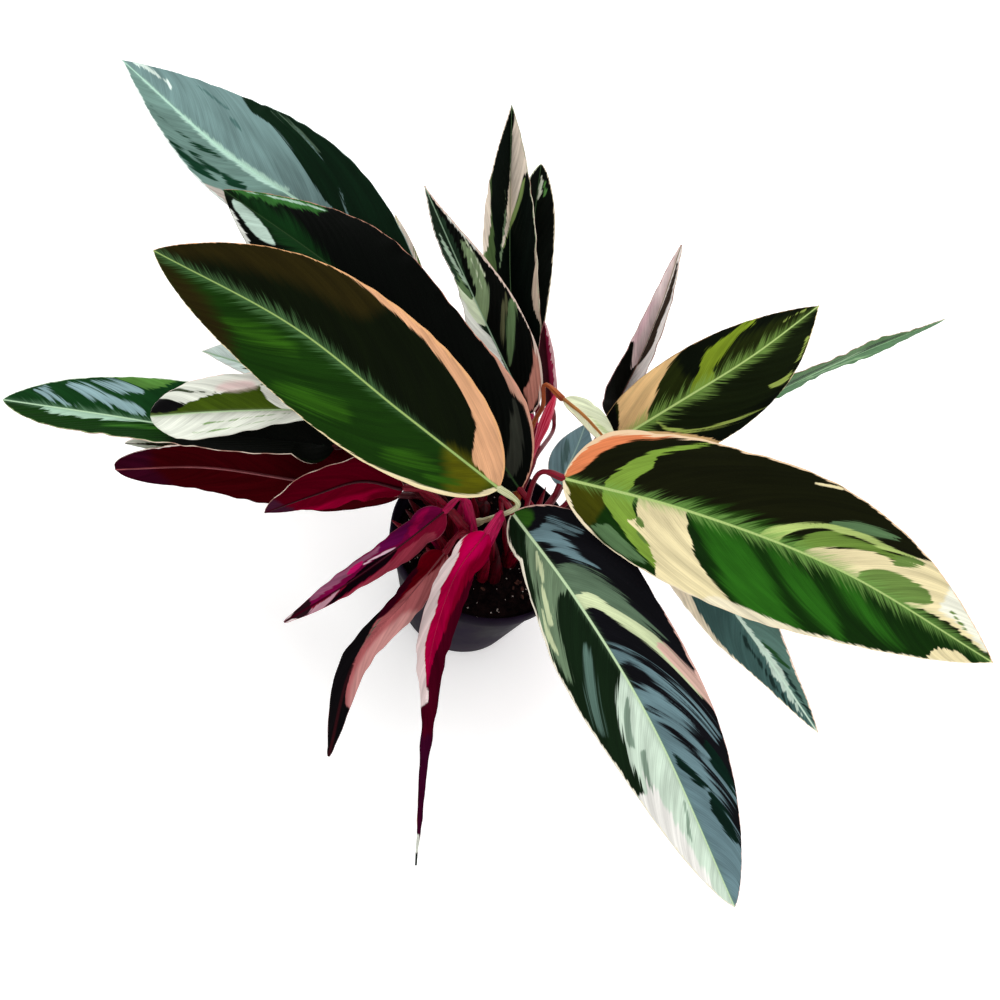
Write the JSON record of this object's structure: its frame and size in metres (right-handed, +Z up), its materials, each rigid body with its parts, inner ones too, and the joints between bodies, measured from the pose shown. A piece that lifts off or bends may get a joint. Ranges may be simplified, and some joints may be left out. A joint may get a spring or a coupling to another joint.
{
  "type": "potted stromanthe plant",
  "caption": "Bushy prayer plant with long variegated leaves, dark green, cream and pink above and crimson below, in a round nursery pot.",
  "frame": {"origin": "centre of the pot's flat underside", "axes": "+Z up, -Y towards the front, +X to the right seen from the front, along the widest spread of the leaves"},
  "size_m": [0.5866, 0.4597, 0.2663],
  "materials": {
    "pot_plastic": "satin, dark purple-grey",
    "potting_soil": "rough, near-black with pale grit",
    "crimson_stalk": "satin",
    "deep_green_leaf": "semi-gloss with pale midrib and cream to peach margin",
    "black_green_leaf": "semi-gloss, near-black green",
    "grey_green_leaf": "semi-gloss, streaked sage, mint and cream",
    "pale_leaf": "satin, mostly cream",
    "maroon_leaf": "satin maroon underside",
    "crimson_leaf": "satin crimson underside"
  },
  "bodies": {
    "root": {"pot": "pot_plastic", "soil": "potting_soil", "shoot_front": "crimson_stalk", "shoot_left": "crimson_stalk", "shoot_rear_left": "crimson_stalk", "shoot_rear": "crimson_stalk", "shoot_rear_right": "crimson_stalk", "shoot_right": "crimson_stalk", "leaf_left_top": "deep_green_leaf", "leaf_left_dark": "black_green_leaf", "leaf_left_rear": "grey_green_leaf", "leaf_right_top": "deep_green_leaf", "leaf_front_right": "grey_green_leaf", "leaf_right_rear": "deep_green_leaf", "leaf_upright_striped": "grey_green_leaf", "leaf_upright_rear": "black_green_leaf", "leaf_upright_slim": "black_green_leaf", "leaf_upright_young": "maroon_leaf", "leaf_upright_pink": "pale_leaf", "leaf_far_right": "grey_green_leaf", "leaf_right_low": "grey_green_leaf", "leaf_far_left": "deep_green_leaf", "leaf_left_rolled": "pale_leaf", "leaf_left_behind": "grey_green_leaf", "leaf_left_low": "maroon_leaf", "leaf_left_low_rear": "black_green_leaf", "leaf_left_short": "maroon_leaf", "leaf_front_left": "crimson_leaf", "leaf_front_drooping": "maroon_leaf", "leaf_front_long_tip": "crimson_leaf", "leaf_centre_arched": "pale_leaf", "leaf_centre_young": "grey_green_leaf", "leaf_rear_young": "pale_leaf"}
  },
  "joints": []
}
